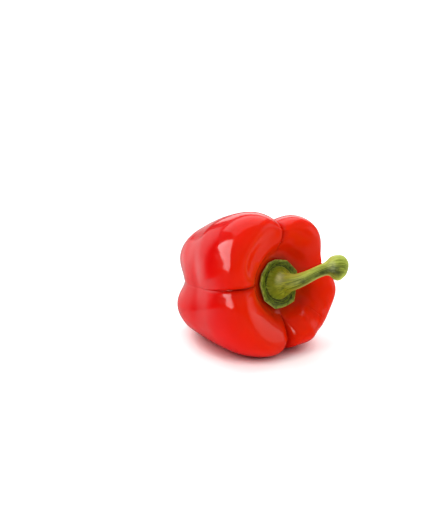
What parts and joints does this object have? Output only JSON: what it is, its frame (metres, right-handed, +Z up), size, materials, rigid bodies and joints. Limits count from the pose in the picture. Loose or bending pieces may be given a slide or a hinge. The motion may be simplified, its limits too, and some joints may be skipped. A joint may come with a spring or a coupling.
{
  "type": "bell pepper",
  "caption": "Red lobed bell pepper lying on its side, with a green calyx in the shoulder hollow and a thick curved stem.",
  "frame": {"origin": "bottom centre of the bounding box, on the surface that the pepper lies on", "axes": "+X along the pepper towards its stem end, +Y to the right as seen from the stem end, +Z up"},
  "size_m": [0.1108, 0.0852, 0.084],
  "materials": {
    "skin": "glossy waxy red skin, orange-red on the shoulders and darker in the furrows",
    "stem": "satin green, yellow-green on the ribs and darker round the calyx's groove"
  },
  "bodies": {
    "root": {"fruit": "skin", "stem_and_calyx": "stem"}
  },
  "joints": []
}
